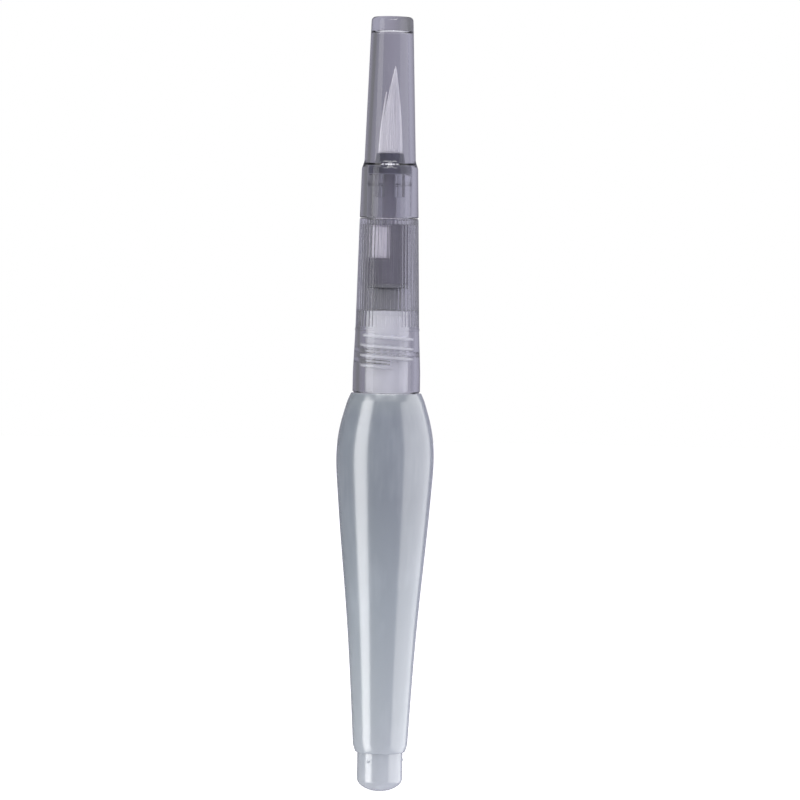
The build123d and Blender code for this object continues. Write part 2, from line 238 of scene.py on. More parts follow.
@dataclass(frozen=True)
class Finish:
    """A material with one surface shader."""

    name: str

    def inputs(self, graph: Graph) -> dict[str, Any]:
        """The surface shader's inputs by name."""
        raise NotImplementedError

    def make(self) -> Material:
        """Builds the material."""
        material = bpy.data.materials.new(self.name)
        material.use_nodes = True
        graph = Graph(material.node_tree)
        shader = graph.node("ShaderNodeBsdfPrincipled", None, self.inputs(graph))
        graph.node("ShaderNodeOutputMaterial", None, {"Surface": shader})
        return material


@dataclass(frozen=True)
class BarrelPlastic(Finish):
    """Soft blow-moulded plastic, grey-blue over the belly and paler at the tail and the neck, with a painted
    highlight: a slightly paler band on the facet below the shoulder.
    """

    belly: tuple = rgb(0.435, 0.46, 0.49)
    waist: tuple = rgb(0.51, 0.54, 0.565)
    heel: tuple = rgb(0.58, 0.605, 0.625)
    tail: tuple = rgb(0.625, 0.64, 0.665)
    # painted highlight: brow colours the facet between the crease and the shoulder slightly paler, standing
    # in for the light that facet catches
    brow: tuple = rgb(0.46, 0.485, 0.505)
    neck: tuple = rgb(0.87, 0.87, 0.90)
    roughness: float = 0.24
    length: float = 95.4
    shoulder: float = 79.9

    def inputs(self, graph: Graph) -> dict[str, Any]:
        """Satin plastic with a soft coat, cloudy where the wall is uneven."""
        ramp = graph.node("ShaderNodeValToRGB", {"stops": [
            (0.0, self.tail), (0.15, self.heel), (0.40, self.waist), (0.62, self.belly), (0.79, self.belly),
            # the two brow stops paint the paler facet band below the shoulder, a painted highlight
            ((self.shoulder - 1.5) / self.length, self.brow),
            ((self.shoulder - 0.1) / self.length, self.brow),
            ((self.shoulder + 0.3) / self.length, self.neck)]}, {"Fac": graph.height() / self.length})
        cloud = graph.noise(7.0, 0.35)
        streak = graph.noise(0.9, 0.06, 2.0)
        pale = ((cloud - 0.5) * 0.3 + (streak - 0.5) * 0.05).clamped(-0.2, 0.2)
        colour = graph.mixed(pale.clamped(0.0, 1.0), ramp, rgb(0.85, 0.87, 0.90))
        rough = (cloud - 0.5) * 0.06 + (streak - 0.5) * 0.02 + self.roughness
        relief = graph.noise(0.5, 0.25, 2.0) * 0.5 + cloud
        return {
            "Base Color": colour, "Roughness": rough, "IOR": 1.8,
            "Subsurface Weight": 0.35, "Subsurface Radius": (1.0, 1.0, 1.1), "Subsurface Scale": 0.0015,
            "Coat Weight": 1.0, "Coat Roughness": 0.16, "Coat IOR": 1.7, "Normal": graph.bump(relief, 0.006)}


@dataclass(frozen=True)
class ClearPlastic(Finish):
    """Clear moulded plastic with a faint smoke and fine flow lines."""

    tint: tuple = rgb(0.985, 0.985, 0.99)
    shade: tuple = rgb(0.96, 0.96, 0.97)
    roughness: float = 0.03
    frost: float = 0.09
    frost_low: float = 149.5
    frost_full: float = 152.5

    def inputs(self, graph: Graph) -> dict[str, Any]:
        """Polished see-through plastic, duller at the cap's end."""
        frosted = ((graph.height() - self.frost_low) / (self.frost_full - self.frost_low)).clamped()
        flow = graph.noise(1.6, 0.12, 2.0)
        haze = graph.noise(5.0)
        rough = ((haze - 0.5) * 0.05 + self.roughness).clamped(0.012, 0.05) + frosted * self.frost
        return {
            "Base Color": graph.mixed(flow, self.tint, self.shade), "Roughness": rough, "IOR": 1.49,
            "Transmission Weight": 1.0, "Normal": graph.bump(flow, 0.004)}


@dataclass(frozen=True)
class MouldedPlastic(Finish):
    """Opaque moulded plastic with a fine mould texture."""

    colour: tuple = rgb(0.36, 0.35, 0.40)
    pale: tuple = rgb(0.46, 0.45, 0.50)
    roughness: float = 0.35
    scatter: float = 0.0
    grain: float = 0.25
    foot: tuple | None = None
    foot_top: float = 0.0
    foot_blend: float = 0.25

    def inputs(self, graph: Graph) -> dict[str, Any]:
        """A mottled body under a fine grain."""
        grain = graph.noise(self.grain, detail=2.0)
        colour = graph.mixed(graph.noise(1.8), self.colour, self.pale)
        if self.foot:
            above = ((graph.height() - self.foot_top) / self.foot_blend).clamped()
            colour = graph.mixed(above, self.foot, colour)
        return {
            "Base Color": colour,
            "Roughness": (grain - 0.5) * 0.2 + self.roughness, "IOR": 1.5,
            "Subsurface Weight": self.scatter, "Subsurface Radius": EVEN,
            "Subsurface Scale": 0.001, "Normal": graph.bump(grain, 0.01)}


@dataclass(frozen=True)
class WickFibre(Finish):
    """Pressed white fibre whose strands run along the pen."""

    colour: tuple = rgb(0.96, 0.94, 0.98)
    groove: tuple = rgb(0.84, 0.82, 0.88)

    def inputs(self, graph: Graph) -> dict[str, Any]:
        """Matt strands with darker gaps."""
        strand = graph.noise(0.22, 0.08, 4.0)
        clump = graph.noise(1.1, 0.4)
        gap = ((strand - 0.42) * 4.0).clamped()
        return {
            "Base Color": graph.mixed(gap, self.groove, self.colour),
            "Roughness": clump * 0.2 + 0.7, "Sheen Weight": 0.3,
            "Normal": graph.bump(strand + clump * 0.5, 0.05)}


@dataclass(frozen=True)
class BristleNylon(Finish):
    """Fine white filament, each hair a little lighter or darker than its neighbours."""

    colour: tuple = rgb(0.96, 0.95, 0.98)
    shade: tuple = rgb(0.90, 0.89, 0.93)

    def inputs(self, graph: Graph) -> dict[str, Any]:
        """Glossy white hair with a soft glow."""
        tone = graph.node("ShaderNodeAttribute", {"attribute_name": "shade"}, None, "Fac")
        along = graph.noise(0.8, 0.3)
        return {
            "Base Color": graph.mixed(tone, self.shade, self.colour),
            "Roughness": (along - 0.5) * 0.15 + 0.4, "Subsurface Weight": 0.2,
            "Subsurface Radius": EVEN, "Subsurface Scale": 0.0004}


@dataclass(frozen=True)
class StudioFloor(Finish):
    """A plain pale floor."""

    colour: tuple = (0.9, 0.9, 0.9, 1.0)
    glow: float = 0.72

    def inputs(self, graph: Graph) -> dict[str, Any]:
        """Matt white with an even lift."""
        grain = graph.noise(4.0)
        return {
            "Base Color": self.colour, "Roughness": grain * 0.1 + 0.8,
            "Emission Color": WHITE, "Emission Strength": self.glow}


# ---- turned shells ----

@dataclass
class Corner:
    """A corner of an outline, in millimetres, and the stretch that leads to it."""

    point: np.ndarray
    soft: float
    mark: Mark | None
    step: float


@dataclass
class Outline:
    """A closed outline of corners that is turned about the pen's axis."""

    corners: list[Corner] = field(default_factory=list)

    def to(self, radius: float, height: float, soft: float = 0.0, mark: Mark | None = None,
           step: float = 0.0) -> "Outline":
        """Adds a corner.

        Args:
            radius: its distance from the axis.
            height: its height along the pen.
            soft: how far the corner is rounded back along its two sides.
            mark: what the stretch that leads here carries.
            step: the longest distance between rings on that stretch.

        Returns:
            The outline itself.
        """
        self.corners.append(Corner(np.array((radius, height)), soft, mark, step))
        return self

    def along(self, points: list[tuple[float, float]]) -> "Outline":
        """Adds a smooth run of points."""
        for radius, height in points:
            self.to(radius, height)
        return self

    def rings(self) -> list[tuple[float, float, Mark | None]]:
        """The outline's rings in order as (radius, height, mark), rounded at corners and filled between."""
        result: list[tuple[float, float, Mark | None]] = []
        count = len(self.corners)
        for i, corner in enumerate(self.corners):
            before, after = self.corners[i - 1].point, self.corners[(i + 1) % count].point
            if corner.step:
                result += self._stretch(before, corner.point, corner.mark, corner.step)
            result += self._corner(before, corner.point, after, corner.soft)
        return result

    @staticmethod
    def _stretch(start: np.ndarray, end: np.ndarray, mark: Mark | None, step: float) -> list:
        """The marked rings between two corners."""
        length = np.linalg.norm(end - start)
        count = max(2, math.ceil(length / step))
        shares = np.linspace(EDGE / length, 1 - EDGE / length, count)
        return [(*(start + share * (end - start)), mark) for share in shares]

    @staticmethod
    def _corner(before: np.ndarray, here: np.ndarray, after: np.ndarray, soft: float) -> list:
        """The rings of one corner, rounded where it is soft."""
        if not soft:
            return [(*here, None)]
        back, ahead = before - here, after - here
        back *= min(soft / np.linalg.norm(back), 0.45)
        ahead *= min(soft / np.linalg.norm(ahead), 0.45)
        shares = np.linspace(0, 1, 5)
        return [(*(here + (1 - t) ** 2 * back + t ** 2 * ahead), None) for t in shares]


@dataclass(frozen=True)
class Around:
    """What the marked stretches of a turned shell carry, in millimetres and shares of a turn."""

    segments: int = 192
    rib_count: int = 1
    rib_groove: float = 0.3
    rib_depth: float = 0.0
    thread_pitch: float = 2.0
    thread_depth: float = 0.0
    thread_root: float = 0.9
    thread_crest: float = 0.45
    thread_low: float = 0.0
    thread_start: float = THREAD_START
    thread_turns: float = 1.0
    block_count: int = 1
    block_first: float = 0.0
    block_width: float = 0.05
    block_depth: float = 0.0
    nub_count: int = 1
    nub_radius: float = 0.4
    nub_proud: float = 0.0
    nub_level: float = 0.0

    def values(self) -> dict[str, float]:
        """The tree's inputs by name, with lengths in metres."""
        lengths = ("rib_groove", "rib_depth", "thread_pitch", "thread_depth", "thread_root", "thread_crest",
                   "thread_low", "block_depth", "nub_radius", "nub_proud", "nub_level")
        return {name: value * MM if name in lengths else value for name, value in vars(self).items()}


class GeometryTree:
    """A geometry node tree with named inputs."""

    def __init__(self, name: str, counts: tuple[str, ...], numbers: tuple[str, ...]) -> None:
        """Makes the tree and its sockets.

        Args:
            name: the tree's name.
            counts: the names of its whole-number inputs.
            numbers: the names of its other inputs.
        """
        self.tree = bpy.data.node_groups.new(name, "GeometryNodeTree")
        self.graph = Graph(self.tree)
        sockets = self.tree.interface
        kinds = {"geometry": "Geometry", **dict.fromkeys(counts, "Int"), **dict.fromkeys(numbers, "Float"),
                 "material": "Material"}
        self.identifiers = {
            key: sockets.new_socket(name=key, in_out="INPUT", socket_type="NodeSocket" + kind).identifier
            for key, kind in kinds.items()}
        sockets.new_socket(name="geometry", in_out="OUTPUT", socket_type="NodeSocketGeometry")
        group = self.graph.node("NodeGroupInput").socket.node
        self.given = {key: Signal(self.graph, group.outputs[key]) for key in self.identifiers}

    def close(self, geometry: Signal) -> None:
        """Ends the tree in real geometry with its material."""
        graph = self.graph
        real = graph.node("GeometryNodeRealizeInstances", None, {0: geometry})
        smooth = graph.node("GeometryNodeSetShadeSmooth", None, {0: real})
        dressed = graph.node("GeometryNodeSetMaterial", None, {0: smooth, "Material": self.given["material"]})
        graph.node("NodeGroupOutput", None, {0: dressed})

    def run(self, name: str, source: Mesh, material: Material,
            values: dict[str, Any]) -> Object:
        """Runs the tree on a mesh and keeps the result as a piece.

        Args:
            name: the new piece's name.
            source: the mesh that the tree starts from.
            material: the finish.
            values: the tree's inputs by name.

        Returns:
            The new piece, with no modifier on it.
        """
        carrier = link_object(name + "_source", source)
        modifier = carrier.modifiers.new("shape", "NODES")
        modifier.node_group = self.tree
        for key, value in {**values, "material": material}.items():
            modifier[self.identifiers[key]] = value
        depsgraph = bpy.context.evaluated_depsgraph_get()
        mesh = bpy.data.meshes.new_from_object(carrier.evaluated_get(depsgraph))
        carrier.modifiers.remove(modifier)
        bpy.data.objects.remove(carrier)
        mesh.name = name
        return link_object(name, mesh)


class TurnedTree(GeometryTree):
    """Turns an outline about the pen's axis and shapes what its marks carry."""

    def __init__(self) -> None:
        """Writes the tree."""
        counts = ("segments", "rib_count", "block_count", "nub_count")
        super().__init__("turned_shell", counts, tuple(n for n in vars(Around()) if n not in counts))
        graph, given = self.graph, self.given
        rings = graph.node("GeometryNodeAttributeDomainSize", {"component": "MESH"}, {0: given["geometry"]})
        grid = graph.node("GeometryNodeMeshGrid", None, {
            "Size X": 1.0, "Size Y": 1.0, "Vertices X": given["segments"] + 1, "Vertices Y": rings + 1})
        across, along, _ = graph.split(graph.node("GeometryNodeInputPosition"))
        turn = across + 0.5
        index = graph.maths("MODULO", graph.maths("ROUND", (along + 0.5) * rings), rings)
        point = graph.node("GeometryNodeInputPosition")
        radius, _, height = graph.split(self._sampled("FLOAT_VECTOR", point, index))
        radius = radius + self._share(Mark.RIBS, index) * self._ribs(turn, radius)
        radius = radius + self._share(Mark.THREAD, index) * self._thread(turn, height)
        radius = radius + self._share(Mark.BLOCKS, index) * self._blocks(turn)
        radius = radius + self._share(Mark.NUBS, index) * self._nubs(turn, radius, height)
        angle = turn * TURN
        cosine, sine = graph.maths("COSINE", angle), graph.maths("SINE", angle)
        place = graph.joined(radius * cosine, radius * sine, height)
        turned = graph.node("GeometryNodeSetPosition", None, {0: grid, "Position": place})
        self.close(graph.node("GeometryNodeMergeByDistance", None, {0: turned, "Distance": MERGE_DISTANCE}))

    def _sampled(self, kind: str, value: Signal, index: Signal) -> Signal:
        """A value of the outline at a ring's index."""
        return self.graph.node("GeometryNodeSampleIndex", {"data_type": kind}, {
            "Geometry": self.given["geometry"], "Value": value, "Index": index})

    def _share(self, mark: Mark, index: Signal) -> Signal:
        """1 on the rings that carry the mark, else 0."""
        return self._sampled("FLOAT", self.graph.attribute(mark.value, "FLOAT"), index)

    def _off_nearest(self, turn: Signal, count: Signal, first: Any) -> Signal:
        """How far a point is from the nearest of count evenly spaced places, in turns."""
        share = (turn - first) * count
        return (share - self.graph.maths("ROUND", share)) / count

    def _ribs(self, turn: Signal, radius: Signal) -> Signal:
        """Round grooves cut between the ribs."""
        given, graph = self.given, self.graph
        aside = self._off_nearest(turn, given["rib_count"], 0.5 / given["rib_count"]) * TURN * radius
        chord = graph.maths("SQRT", (given["rib_groove"] ** 2 - aside ** 2).clamped())
        return 0.0 - (chord - (given["rib_groove"] - given["rib_depth"])).clamped()

    def _thread(self, turn: Signal, height: Signal) -> Signal:
        """A left-handed ridge that rises from its low end."""
        given, graph = self.given, self.graph
        back = given["thread_start"] - turn
        climbed = (height - given["thread_low"]) / given["thread_pitch"] - back
        whole = graph.maths("ROUND", climbed)
        aside = abs(climbed - whole) * given["thread_pitch"]
        slope = (given["thread_root"] - given["thread_crest"]) / 2
        ridge = ((given["thread_root"] / 2 - aside) / slope).clamped()
        gone = back + whole
        ends = (gone / THREAD_FADE).clamped() * ((given["thread_turns"] - gone) / THREAD_FADE).clamped()
        return ridge * ends * given["thread_depth"]

    def _blocks(self, turn: Signal) -> Signal:
        """Blocks with square sides."""
        given = self.given
        aside = abs(self._off_nearest(turn, given["block_count"], given["block_first"]))
        return self.graph.maths("LESS_THAN", aside, given["block_width"] / 2) * given["block_depth"]

    def _nubs(self, turn: Signal, radius: Signal, height: Signal) -> Signal:
        """Round nubs."""
        given, graph = self.given, self.graph
        aside = self._off_nearest(turn, given["nub_count"], 0.0) * TURN * radius
        above = height - given["nub_level"]
        dome = graph.maths("SQRT", (given["nub_radius"] ** 2 - aside ** 2 - above ** 2).clamped())
        return (dome - (given["nub_radius"] - given["nub_proud"])).clamped()

    def turn(self, name: str, outline: Outline, around: Around,
             material: Material) -> Object:
        """Makes one turned piece.

        Args:
            name: the piece's name.
            outline: its closed outline.
            around: what its marked stretches carry.
            material: its finish.
        """
        rings = outline.rings()
        source = bpy.data.meshes.new(name + "_outline")
        source.from_pydata([(r * MM, 0.0, z * MM) for r, z, _ in rings], [], [])
        for mark in Mark:
            layer = source.attributes.new(mark.value, "FLOAT", "POINT")
            layer.data.foreach_set("value", [float(m is mark) for _, _, m in rings])
        return tidy_piece(self.run(name, source, material, around.values()))


class TuftTree(GeometryTree):
    """Hundreds of tapered hairs that draw to a point, with a small side lock."""

    GOLDEN_TURN = 2.399963
    SIDES, RINGS = 5, 11
    UNIT_RADIUS = 0.001    # the plain hair's radius before it is shaped
    LOCK_WEDGE, LOCK_INNER = 0.72, 0.5    # which roots belong to the side lock
    UNEVEN_REACH, SHORT_RIM, UNEVEN_LOCK = 0.34, 0.10, 0.05
    POINT_DRAW, POINT_CURVE = 0.95, 1.875    # how the hairs draw in towards the point
    LOCK_DRAW, LOCK_CURVE = 0.93, 1.7
    HAIR_TAPER, TAPER_CURVE = 0.72, 1.6

    def __init__(self) -> None:
        """Writes the tree."""
        super().__init__("bristle_tuft", ("hairs", "seed"), (
            "root_radius", "low", "length", "hair_radius", "lean", "lock_reach", "lock_aside"))
        graph, given = self.graph, self.given
        index = graph.node("GeometryNodeInputIndex")
        spread = graph.maths("SQRT", (index + 0.5) / given["hairs"])
        angle = index * self.GOLDEN_TURN
        root = graph.joined(graph.maths("COSINE", angle) * spread, graph.maths("SINE", angle) * spread, 0.0)
        points = graph.node("GeometryNodePoints", None, {"Count": given["hairs"], "Position": root})
        hair = graph.node("GeometryNodeMeshCylinder", {"fill_type": "NGON"}, {
            "Vertices": self.SIDES, "Side Segments": self.RINGS, "Radius": self.UNIT_RADIUS, "Depth": 1.0})
        lifted = graph.node("GeometryNodeTransform", None, {0: hair, "Translation": (0.0, 0.0, 0.5)})
        hairs = graph.node("GeometryNodeInstanceOnPoints", None, {"Points": points, "Instance": lifted})
        hairs = self._kept(hairs, "root", "FLOAT_VECTOR", graph.node("GeometryNodeInputPosition"))
        hairs = self._kept(hairs, "shade", "FLOAT", self._chance(0))
        hairs = self._kept(hairs, "reach", "FLOAT", self._chance(1))
        real = graph.node("GeometryNodeRealizeInstances", None, {0: hairs})
        shaped = graph.node("GeometryNodeSetPosition", None, {0: real, "Position": self._shape()})
        self.close(shaped)

    def _kept(self, geometry: Signal, name: str, kind: str, value: Signal) -> Signal:
        """Stores a value on each hair."""
        return self.graph.node("GeometryNodeStoreNamedAttribute", {"data_type": kind, "domain": "INSTANCE"}, {
            "Geometry": geometry, "Name": name, "Value": value})

    def _chance(self, offset: int) -> Signal:
        """A random number from 0 to 1 for each hair."""
        return self.graph.node("FunctionNodeRandomValue", {"data_type": "FLOAT"}, {
            "Seed": self.given["seed"] + offset}, 1)

    def _shape(self) -> Signal:
        """Where each point of each hair goes."""
        graph, given = self.graph, self.given
        x, y, share = graph.split(graph.node("GeometryNodeInputPosition"))
        root_x, root_y, _ = graph.split(graph.attribute("root", "FLOAT_VECTOR"))
        out = graph.maths("SQRT", root_x ** 2 + root_y ** 2)
        chance = graph.attribute("reach", "FLOAT")
        in_lock = (graph.maths("LESS_THAN", root_x, out * -self.LOCK_WEDGE)
                   * graph.maths("GREATER_THAN", out, self.LOCK_INNER))
        free = 1.0 - chance ** 2 * self.UNEVEN_REACH - out * chance * self.SHORT_RIM
        locked = given["lock_reach"] - chance * self.UNEVEN_LOCK
        rise = share * (in_lock * (locked - free) + free)
        drawn = 1.0 - self.POINT_DRAW * rise ** self.POINT_CURVE
        pulled = (rise / given["lock_reach"]).clamped() ** self.LOCK_CURVE
        drawn = in_lock * (1.0 - self.LOCK_DRAW * pulled - drawn) + drawn
        taper = (1.0 - self.HAIR_TAPER * share ** self.TAPER_CURVE) * given["hair_radius"] / self.UNIT_RADIUS
        lean = given["lean"] * rise ** 2 * (1.0 - in_lock) + given["lock_aside"] * pulled * in_lock
        new_x = root_x * drawn * given["root_radius"] + (x - root_x) * taper + lean
        new_y = root_y * drawn * given["root_radius"] + (y - root_y) * taper
        return graph.joined(new_x, new_y, given["low"] + rise * given["length"])


# ---- pieces ----

def link_object(name: str, data: ID) -> Object:
    """Makes an object at the origin and adds it to the scene."""
    made = bpy.data.objects.new(name, data)
    bpy.context.scene.collection.objects.link(made)
    return made


def tidy_piece(piece: Object) -> Object:
    """Removes a closed piece's loose edges, points its faces outwards and marks its sharp edges."""
    shell = bmesh.new()
    shell.from_mesh(piece.data)
    bmesh.ops.delete(shell, geom=[e for e in shell.edges if not e.link_faces], context="EDGES")
    bmesh.ops.delete(shell, geom=[v for v in shell.verts if not v.link_edges], context="VERTS")
    if shell.calc_volume(signed=True) < 0:
        bmesh.ops.reverse_faces(shell, faces=shell.faces)
    shell.to_mesh(piece.data)
    shell.free()
    piece.data.set_sharp_from_angle(angle=SHARP_ANGLE)
    return piece


def seat(piece: Object, body: Body, node: str) -> Object:
    """Puts a piece on its body, hides the CAD node it stands for and returns it.

    Args:
        piece: the finished piece.
        body: the body that it rides on.
        node: the CAD node that it replaces.
    """
    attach(piece, body.value)
    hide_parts(node)
    LOG.info("%s: %d faces on %s", piece.name, len(piece.data.polygons), body.value)
    return piece


def smooth_run(knots: list[tuple[float, float]], count: int) -> list[tuple[float, float]]:
    """A smooth curve of radius over height through a few knots.

    Args:
        knots: (radius, height) pairs in order of height.
        count: how many points to give.

    Returns:
        The points, from the first knot to the last.
    """
    radii = np.array([k[0] for k in knots])
    heights = np.array([k[1] for k in knots])
    gap = np.diff(heights)
    size = len(knots)
    matrix, right = np.eye(size), np.zeros(size)
    for i in range(1, size - 1):
        matrix[i, i - 1:i + 2] = gap[i - 1], 2 * (gap[i - 1] + gap[i]), gap[i]
        right[i] = 6 * ((radii[i + 1] - radii[i]) / gap[i] - (radii[i] - radii[i - 1]) / gap[i - 1])
    bend = np.linalg.solve(matrix, right)
    result = []
    for z in np.linspace(heights[0], heights[-1], count):
        i = min(int(np.searchsorted(heights, z, side="right")) - 1, size - 2)
        a, b, h = heights[i + 1] - z, z - heights[i], gap[i]
        r = (bend[i] * a ** 3 + bend[i + 1] * b ** 3) / (6 * h) \
            + (radii[i] / h - bend[i] * h / 6) * a + (radii[i + 1] / h - bend[i + 1] * h / 6) * b
        result.append((float(r), float(z)))
    return result


def span(node: str) -> tuple[float, float, float]:
    """A CAD node's lowest height, highest height and largest radius, in millimetres."""
    low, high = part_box(node)
    return low.z / MM, high.z / MM, high.x / MM


@dataclass
class Barrel:
    """The squeeze barrel with its tail post, neck, thread and stop lug."""

    wall: float = 0.85
    tail_r: float = 4.55
    tail_length: float = 7.9
    tail_round: float = 2.6
    heel_step: float = 0.45
    heel_r: float = 5.47
    heel_height: float = 1.5
    waist: tuple[float, float] = (0.39, 35.0)
    flank: tuple[float, float] = (0.80, 25.7)
    cheek: tuple[float, float] = (0.935, 18.5)
    belly_drop: float = 12.5
    brow: tuple[float, float] = (0.67, 6.5)
    crease_drop: float = 1.5
    crease_slope: float = 0.45
    shoulder_r: float = 7.0
    neck_r: float = 4.35
    neck_wall: float = 1.0
    neck_length: float = 15.5
    thread_rise: float = 5.1
    lug_height: float = 0.55
    nub_drop: float = 1.6
    thread_zone: tuple[float, float] = (-0.6, 7.4)    # about the thread's start
    nub_zone: float = 0.45
    around: Around = Around(
        segments=224, thread_depth=1.05, thread_turns=3.35, block_depth=0.65, block_width=0.107,
        block_first=FRONT, nub_count=3, nub_proud=0.12)

    def outline(self) -> Outline:
        """The barrel's wall, up its outside and down its inside."""
        _, mouth, belly = span("squeeze_barrel")
        shoulder = mouth - self.neck_length
        lower, upper = (shoulder + self.thread_rise + reach for reach in self.thread_zone)
        bore = self.neck_r - self.neck_wall
        out = Outline().along(self._end(0.0))
        nubs = self.tail_length - self.nub_drop
        out.to(self.tail_r, nubs - self.nub_zone)
        out.to(self.tail_r, nubs + self.nub_zone, mark=Mark.NUBS, step=0.07)
        out.to(self.tail_r, self.tail_length, 0.1).to(self.tail_r + self.heel_step, self.tail_length, 0.3)
        *side, crease = self._body(0.0, shoulder, belly - 0.01)
        out.along(side).to(*crease, 0.3).to(self.shoulder_r, shoulder, 0.12)
        out.to(self.neck_r, shoulder).to(self.neck_r, shoulder + self.lug_height, mark=Mark.BLOCKS, step=0.3)
        out.to(self.neck_r, lower).to(self.neck_r, upper, mark=Mark.THREAD, step=0.085)
        out.to(self.neck_r, mouth, 0.12).to(bore, mouth, 0.12)
        out.to(bore, shoulder - self.wall, 0.3).to(self.shoulder_r - self.wall, shoulder - self.wall, 0.2)
        out.along(self._body(self.wall, shoulder, belly)[::-1])
        out.to(self.tail_r + self.heel_step - self.wall, self.tail_length + self.wall, 0.3)
        out.to(self.tail_r - self.wall, self.tail_length + self.wall, 0.1)
        return out.along(self._end(self.wall)[::-1])

    def _end(self, inset: float) -> list[tuple[float, float]]:
        """The oval end of the tail post, from the axis outwards."""
        radius, height = self.tail_r - inset, self.tail_round - inset
        angles = np.linspace(0, math.pi / 2, 14)
        return [(radius * math.sin(a), self.tail_round - height * math.cos(a)) for a in angles]

    def _body(self, inset: float, shoulder: float, belly: float) -> list[tuple[float, float]]:
        """The body's side, from the heel up to the crease."""
        swell = belly - self.heel_r
        crease = self.shoulder_r + self.crease_slope * self.crease_drop
        knots = [
            (self.heel_r, self.tail_length + inset + self.heel_height),
            (self.heel_r + self.waist[0] * swell, self.waist[1]),
            (self.heel_r + self.flank[0] * swell, shoulder - self.flank[1]),
            (self.heel_r + self.cheek[0] * swell, shoulder - self.cheek[1]),
            (belly, shoulder - self.belly_drop),
            (crease + self.brow[0] * (belly - crease), shoulder - self.brow[1]),
            (crease, shoulder - self.crease_drop),
        ]
        points = smooth_run(knots, 110 if inset == 0 else 50)
        return [(min(r, belly) - inset, z) for r, z in points]

    def thread_low(self) -> float:
        """The height at which the thread starts."""
        return span("squeeze_barrel")[1] - self.neck_length + self.thread_rise

    def build(self, turned: TurnedTree, plastic: Material) -> None:
        """Makes the barrel."""
        nub_level = self.tail_length - self.nub_drop
        around = replace(self.around, thread_low=self.thread_low(), nub_level=nub_level)
        seat(turned.turn("squeeze_barrel_shell", self.outline(), around, plastic),
             Body.BARREL, "squeeze_barrel")


@dataclass
class Grip:
    """The clear grip with its ribs, threaded bore, spigot and centring fins."""

    foot: float = 4.0
    foot_chamfer: float = 0.25
    knee_height: float = 12.4
    knee_step: float = 0.36
    lip: float = 0.08
    lip_height: float = 0.4
    rib_start: float = 0.8
    rib_margin: float = 0.35
    top_r: float = 5.87
    bore_r: float = 5.55
    mouth_lead: float = 0.2
    step_height: float = 16.5
    step_slope: float = 0.1
    cavity_r: float = 4.4
    spigot_r: float = 4.35
    spigot_length: float = 8.75
    spigot_bore_r: float = 3.3
    web: float = 1.2
    bead: float = 0.15
    bead_drop: float = 1.8
    fins: tuple[float, float] = (4.5, 0.3)
    edge: float = 0.15
    tip_edge: float = 0.25
    bead_shape: tuple[float, float] = (0.3, 0.1)    # half heights of its foot and its crest
    thread_zone: tuple[float, float] = (10.2, 5.3)
    around: Around = Around(
        segments=480, rib_count=48, rib_depth=0.11, thread_depth=-1.05, thread_turns=1.75,
        block_count=4, block_first=0.125, block_width=0.0285, block_depth=-1.8)

    def outline(self) -> Outline:
        """The grip's wall, up its outside and down its bore."""
        low, top, foot_r = span("grip_section")
        knee, shoulder = low + self.knee_height, top - self.spigot_length
        knee_r = foot_r - self.knee_step
        slope = (self.top_r - knee_r) / (shoulder - knee)
        bead = top - self.bead_drop
        ribs = (knee + self.rib_start, shoulder - self.rib_margin)
        out = Outline().to(foot_r - self.foot_chamfer, low, 0.06).to(foot_r, low + self.foot_chamfer, 0.06)
        out.to(foot_r, low + self.foot, 0.6).to(knee_r, knee, 0.05)
        out.to(knee_r + self.lip, knee + self.lip, 0.03).to(knee_r + self.lip, knee + self.lip_height, 0.03)
        lip_top = knee + self.lip_height + self.lip
        out.to(knee_r + slope * (lip_top - knee), lip_top, 0.03)
        out.to(knee_r + slope * (ribs[0] - knee), ribs[0])
        out.to(knee_r + slope * (ribs[1] - knee), ribs[1], mark=Mark.RIBS, step=2.0)
        out.to(self.top_r, shoulder - self.edge, 0.05).to(self.top_r - self.edge, shoulder, 0.05)
        half_foot, half_crest = self.bead_shape
        out.to(self.spigot_r, shoulder, 0.1).to(self.spigot_r, bead - half_foot, 0.05)
        out.to(self.spigot_r + self.bead, bead - half_crest, 0.06)
        out.to(self.spigot_r + self.bead, bead + half_crest, 0.06).to(self.spigot_r, bead + half_foot, 0.05)
        out.to(self.spigot_r, top - self.tip_edge, 0.06).to(self.spigot_r - self.tip_edge, top, 0.06)
        out.to(self.spigot_bore_r, top)
        fin_top, fin_low = top - self.fins[1], top - self.fins[0]
        out.to(self.spigot_bore_r, fin_top).to(self.spigot_bore_r, fin_low, mark=Mark.BLOCKS, step=3.0)
        ceiling = shoulder - self.web
        out.to(self.spigot_bore_r, ceiling, 0.06).to(self.cavity_r, ceiling, 0.08)
        step = low + self.step_height
        out.to(self.cavity_r, step + self.step_slope * (self.bore_r - self.cavity_r), 0.06)
        out.to(self.bore_r, step, 0.06)
        upper, lower = self.thread_zone
        out.to(self.bore_r, low + upper).to(self.bore_r, low + lower, mark=Mark.THREAD, step=0.075)
        return out.to(self.bore_r, low + self.mouth_lead, 0.05).to(self.bore_r + self.mouth_lead, low, 0.05)

    def build(self, turned: TurnedTree, plastic: Material, thread_low: float) -> Object:
        """Makes the grip."""
        around = replace(self.around, thread_low=thread_low)
        piece = turned.turn("clear_grip", self.outline(), around, plastic)
        return seat(piece, Body.HEAD, "grip_section")


